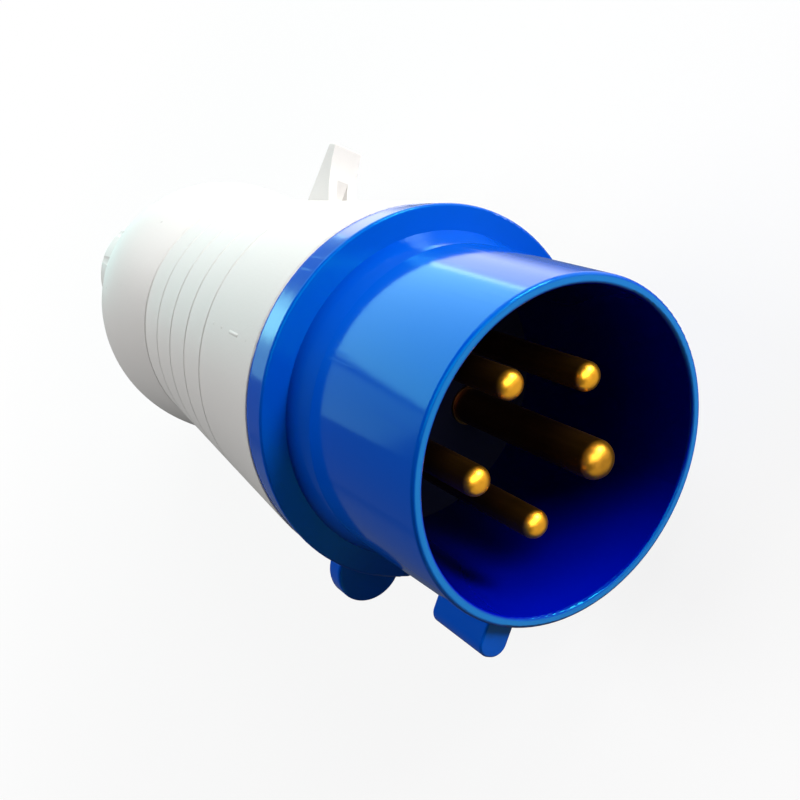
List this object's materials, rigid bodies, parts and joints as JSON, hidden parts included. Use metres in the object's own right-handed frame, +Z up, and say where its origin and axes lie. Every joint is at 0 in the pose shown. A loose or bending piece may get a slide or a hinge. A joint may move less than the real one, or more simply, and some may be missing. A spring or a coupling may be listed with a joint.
{
  "type": "industrial pin and sleeve plug",
  "caption": "Round industrial plug with a keyed blue sleeve around contact pins, a ringed grey grip and a turning cable gland nut.",
  "frame": {"origin": "centre of the sleeve's mouth, on the plug's axis", "axes": "+X out of the mouth along the plug's axis, +Z up as the plug lies"},
  "size_m": [0.19, 0.0837, 0.069],
  "materials": {
    "blue_plastic": "glossy",
    "grey_plastic": "satin",
    "carrier_plastic": "matt",
    "contact_brass": "polished",
    "plated_steel": "satin",
    "seal_rubber": "matt"
  },
  "bodies": {
    "plug": {"front_shell": "blue_plastic", "contact_carrier": "carrier_plastic", "carrier_lock_ring": "carrier_plastic", "earth_pin": "contact_brass", "l1_pin": "contact_brass", "l2_pin": "contact_brass", "l3_pin": "contact_brass", "neutral_pin": "contact_brass", "terminal_screws": "plated_steel", "pin_retainer": "carrier_plastic", "retainer_screw": "plated_steel", "housing_seal": "seal_rubber", "rear_housing": "grey_plastic", "cord_clamp_cradle": "carrier_plastic", "cord_clamp_saddle": "carrier_plastic", "cord_clamp_screws": "plated_steel", "gland_cage": "carrier_plastic", "gland_seal": "seal_rubber"},
    "thrust_ring": {"thrust_ring": "carrier_plastic"},
    "gland_nut": {"gland_nut": "grey_plastic"}
  },
  "joints": [
    {"name": "nut_travel", "type": "slide", "parent": "plug", "child": "thrust_ring", "axis": [-1, 0, 0], "range_m": [0, 0.0045]},
    {"name": "nut_turn", "type": "hinge", "parent": "thrust_ring", "child": "gland_nut", "pos_m": [-0.18, 0, 0], "axis": [-1, 0, 0], "range_deg": [0, 1080]}
  ],
  "couplings": [
    {"joint": "nut_travel", "follows": "nut_turn", "m_per_rad": 0.00023873}
  ]
}
